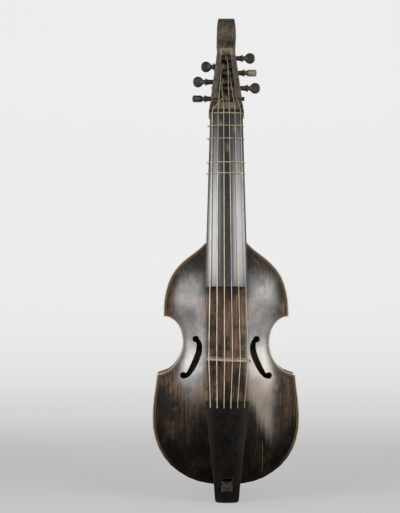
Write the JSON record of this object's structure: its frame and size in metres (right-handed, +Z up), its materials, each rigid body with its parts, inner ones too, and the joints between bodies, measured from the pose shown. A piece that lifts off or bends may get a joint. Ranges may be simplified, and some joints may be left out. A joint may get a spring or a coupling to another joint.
{
  "type": "viola da gamba",
  "caption": "Treble-size viola da gamba with gut strings, tied frets, arched belly with C-shaped sound holes, flat back, turning pegs and a tailpiece on a hook bar.",
  "frame": {"origin": "on the outer face of the flat back, on the middle line, 161 mm above the body's lower end", "axes": "+Z up along the body toward the head, -Y out of the belly toward the viewer, +Y out of the flat back, +X to the viewer's right, the side of the thinnest string"},
  "size_m": [0.217, 0.141, 0.7217],
  "materials": {
    "varnished_spruce": "aged gloss varnish",
    "varnished_maple": "aged gloss varnish",
    "plain_spruce": "bare, unvarnished",
    "worn_maple": "worn satin varnish",
    "blackened_wood": "polished, dark stained",
    "peg_wood": "polished, dark stained",
    "stained_wood": "satin, stained",
    "bridge_maple": "bare, scraped",
    "gut": "twisted gut, satin"
  },
  "bodies": {
    "root": {"belly": "varnished_spruce", "back": "varnished_maple", "bridge": "bridge_maple", "hook_bar": "stained_wood", "tailpiece": "blackened_wood", "neck_and_head": "worn_maple", "fingerboard": "blackened_wood", "nut": "blackened_wood", "rib_upper_left": "varnished_maple", "rib_middle_left": "varnished_maple", "rib_lower_left": "varnished_maple", "rib_upper_right": "varnished_maple", "rib_middle_right": "varnished_maple", "rib_lower_right": "varnished_maple", "lining_belly_upper_left": "plain_spruce", "lining_belly_middle_left": "plain_spruce", "lining_belly_lower_left": "plain_spruce", "lining_belly_upper_right": "plain_spruce", "lining_belly_middle_right": "plain_spruce", "lining_belly_lower_right": "plain_spruce", "lining_back_upper_left": "plain_spruce", "lining_back_middle_left": "plain_spruce", "lining_back_lower_left": "plain_spruce", "lining_back_upper_right": "plain_spruce", "lining_back_middle_right": "plain_spruce", "lining_back_lower_right": "plain_spruce", "top_block": "plain_spruce", "tail_block": "plain_spruce", "corner_block_upper_left": "plain_spruce", "corner_block_upper_right": "plain_spruce", "corner_block_lower_left": "plain_spruce", "corner_block_lower_right": "plain_spruce", "bass_bar": "plain_spruce", "sound_post": "plain_spruce", "sound_post_plate": "plain_spruce", "back_brace_lower": "plain_spruce", "back_brace_upper": "plain_spruce", "string_1": "gut", "string_2": "gut", "string_3": "gut", "string_4": "gut", "string_5": "gut", "string_6": "gut"},
    "peg_left_lower": {"peg_left_lower": "peg_wood", "winding_left_lower": "gut"},
    "peg_right_lower": {"peg_right_lower": "peg_wood", "winding_right_lower": "gut"},
    "peg_left_middle": {"peg_left_middle": "peg_wood", "winding_left_middle": "gut"},
    "peg_right_middle": {"peg_right_middle": "peg_wood", "winding_right_middle": "gut"},
    "peg_left_upper": {"peg_left_upper": "peg_wood", "winding_left_upper": "gut"},
    "peg_right_upper": {"peg_right_upper": "peg_wood", "winding_right_upper": "gut"},
    "fret_1": {"fret_1": "gut"},
    "fret_2": {"fret_2": "gut"},
    "fret_4": {"fret_4": "gut"},
    "fret_5": {"fret_5": "gut"}
  },
  "joints": [
    {"name": "peg_left_lower_turn", "type": "hinge", "parent": "root", "child": "peg_left_lower", "pos_m": [0, -0.03717, 0.41264], "axis": [1, 0, 0], "continuous": true},
    {"name": "peg_right_lower_turn", "type": "hinge", "parent": "root", "child": "peg_right_lower", "pos_m": [0, -0.03122, 0.42915], "axis": [1, 0, 0], "continuous": true},
    {"name": "peg_left_middle_turn", "type": "hinge", "parent": "root", "child": "peg_left_middle", "pos_m": [0, -0.02777, 0.43874], "axis": [1, 0, 0], "continuous": true},
    {"name": "peg_right_middle_turn", "type": "hinge", "parent": "root", "child": "peg_right_middle", "pos_m": [0, -0.02271, 0.45278], "axis": [1, 0, 0], "continuous": true},
    {"name": "peg_left_upper_turn", "type": "hinge", "parent": "root", "child": "peg_left_upper", "pos_m": [0, -0.0193, 0.46228], "axis": [1, 0, 0], "continuous": true},
    {"name": "peg_right_upper_turn", "type": "hinge", "parent": "root", "child": "peg_right_upper", "pos_m": [0, -0.01446, 0.47573], "axis": [1, 0, 0], "continuous": true},
    {"name": "fret_1_slide", "type": "slide", "parent": "root", "child": "fret_1", "axis": [0, 0.1357, 0.9907], "range_m": [-0.0025, 0.0025]},
    {"name": "fret_2_slide", "type": "slide", "parent": "root", "child": "fret_2", "axis": [0, 0.1357, 0.9907], "range_m": [-0.0025, 0.0025]},
    {"name": "fret_4_slide", "type": "slide", "parent": "root", "child": "fret_4", "axis": [0, 0.1357, 0.9907], "range_m": [-0.0025, 0.0025]},
    {"name": "fret_5_slide", "type": "slide", "parent": "root", "child": "fret_5", "axis": [0, 0.1357, 0.9907], "range_m": [-0.0025, 0.0025]}
  ]
}
